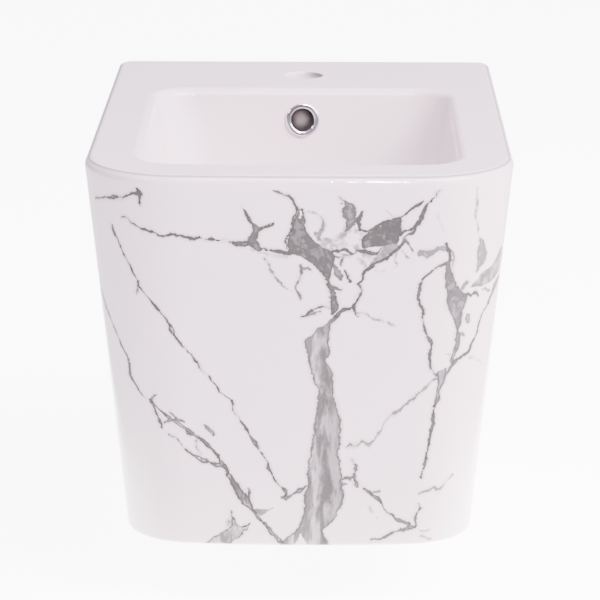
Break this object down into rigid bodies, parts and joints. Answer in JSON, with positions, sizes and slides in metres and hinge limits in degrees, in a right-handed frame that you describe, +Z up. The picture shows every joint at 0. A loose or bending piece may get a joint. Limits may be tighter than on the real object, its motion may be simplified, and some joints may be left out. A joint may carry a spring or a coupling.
{
  "type": "wall-hung bidet",
  "caption": "Wall-hung bidet in white glaze with a grey marble-vein skirt, a deep squared basin, a chrome overflow ring, a bare tap hole and a click-clack waste.",
  "frame": {"origin": "on the wall plane, midway between the axes of the wall studs", "axes": "+Y points into the wall, along the studs; +X is to the right seen from the front; +Z is up, so the bidet stands out towards -Y"},
  "size_m": [0.3586, 0.5784, 0.34],
  "materials": {
    "glaze": "gloss white glaze, with a grey marble-vein print on the skirt",
    "chrome": "polished",
    "zinc_steel": "zinc plated",
    "stainless": "plain",
    "brass": "satin",
    "white_plastic": "satin",
    "grey_plastic": "satin",
    "black_rubber": "matt"
  },
  "bodies": {
    "bidet": {"ceramic_body": "glaze", "overflow_ring": "chrome", "wall_studs": "zinc_steel", "stud_sleeves": "white_plastic", "stud_washers": "zinc_steel", "stud_nuts": "zinc_steel", "nut_caps": "white_plastic", "waste_body": "chrome", "flange_gasket": "black_rubber", "lower_gasket": "black_rubber", "slip_washer": "white_plastic", "backnut": "brass", "click_cartridge": "grey_plastic", "cartridge_cap": "grey_plastic", "plug_spring": "stainless"},
    "plug": {"click_rod": "stainless", "cam_ring": "grey_plastic", "plug_cap": "chrome", "plug_seal": "black_rubber"}
  },
  "joints": [
    {"name": "plug_press", "type": "slide", "parent": "bidet", "child": "plug", "axis": [0, 0, 1], "range_m": [-0.009, 0], "stiffness_N_per_m": 1200, "springref_m": 0.006, "deforming": ["plug_spring"]}
  ]
}
